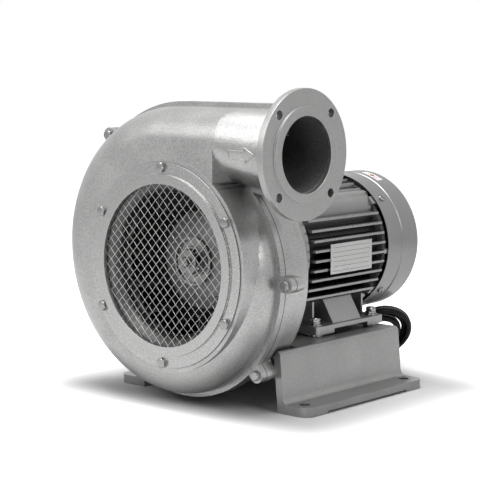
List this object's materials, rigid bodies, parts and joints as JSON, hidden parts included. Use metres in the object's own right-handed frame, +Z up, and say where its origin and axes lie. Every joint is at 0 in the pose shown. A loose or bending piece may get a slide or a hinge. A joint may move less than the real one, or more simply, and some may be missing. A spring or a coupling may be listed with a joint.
{
  "type": "centrifugal fan",
  "caption": "Direct-drive centrifugal fan: cast two-part volute with a guarded round inlet and a flanged round outlet, finned motor on a foot, and a cast base bracket.",
  "frame": {"origin": "on the floor, at the centre of the base's four bolt holes", "axes": "+Z up, +Y from the inlet towards the motor along the shaft, +X towards the outlet"},
  "size_m": [0.332, 0.4175, 0.3375],
  "materials": {
    "cast_housing": "sand-cast, fine grain",
    "machined_ring": "turned, satin",
    "motor_casting": "die-cast, satin",
    "spun_sheet": "spun sheet, satin",
    "cowl_sheet": "silver grey paint",
    "steel_fasteners": "zinc plated",
    "steel_wire": "bright welded wire",
    "shaft_steel": "ground",
    "core_steel": "laminated sheet steel",
    "winding": "enamelled copper",
    "rating_plate": "brushed, bare",
    "black_plastic": "moulded",
    "seal_rubber": "matt",
    "black_cable": "smooth, semi-matt",
    "pin_metal": "plated"
  },
  "bodies": {
    "casing": {"front_volute_shell": "cast_housing", "rear_volute_shell": "cast_housing", "outlet_flange": "machined_ring", "base_bracket": "cast_housing", "inlet_ring": "machined_ring", "inlet_nozzle": "spun_sheet", "inlet_mesh_guard": "steel_wire", "inlet_ring_screws": "steel_fasteners", "volute_seam_screws": "steel_fasteners", "base_lug_screws": "steel_fasteners", "shield_screws": "steel_fasteners", "tie_bolts": "steel_fasteners", "foot_bolts": "steel_fasteners", "foot_spacers": "steel_fasteners", "foot_washers": "steel_fasteners", "foot_spring_washers": "steel_fasteners", "foot_nuts": "steel_fasteners", "cowl_screws": "steel_fasteners", "lid_screws": "steel_fasteners", "rating_plate_rivets": "machined_ring", "rating_plate": "rating_plate", "motor_frame": "motor_casting", "motor_foot": "motor_casting", "drive_endshield": "motor_casting", "rear_endshield": "motor_casting", "fan_cowl": "cowl_sheet", "terminal_box": "motor_casting", "terminal_box_lid": "motor_casting", "terminal_box_gasket": "seal_rubber", "terminal_block": "black_plastic", "cable_gland": "black_plastic", "gland_nut": "black_plastic", "drive_bearing_outer": "shaft_steel", "rear_bearing_outer": "shaft_steel", "wave_spring": "shaft_steel", "stator_core": "core_steel", "stator_windings": "winding", "shaft_seal": "seal_rubber", "cable_lead": "black_cable", "plug_lead": "black_cable", "cable_coil": "black_cable", "cable_tie": "black_plastic", "plug_body": "seal_rubber", "plug_pins": "pin_metal"},
    "rotor": {"motor_shaft": "shaft_steel", "rotor_core": "core_steel", "shaft_key": "shaft_steel", "impeller_hub": "motor_casting", "impeller_backplate": "spun_sheet", "impeller_blades": "spun_sheet", "impeller_shroud": "spun_sheet", "impeller_washer": "steel_fasteners", "impeller_bolt": "steel_fasteners", "cooling_fan": "black_plastic", "fan_circlip": "shaft_steel", "drive_bearing_inner": "shaft_steel", "rear_bearing_inner": "shaft_steel"}
  },
  "joints": [
    {"name": "rotor_spin", "type": "hinge", "parent": "casing", "child": "rotor", "pos_m": [0, 0, 0.153], "axis": [0, 1, 0], "continuous": true}
  ]
}
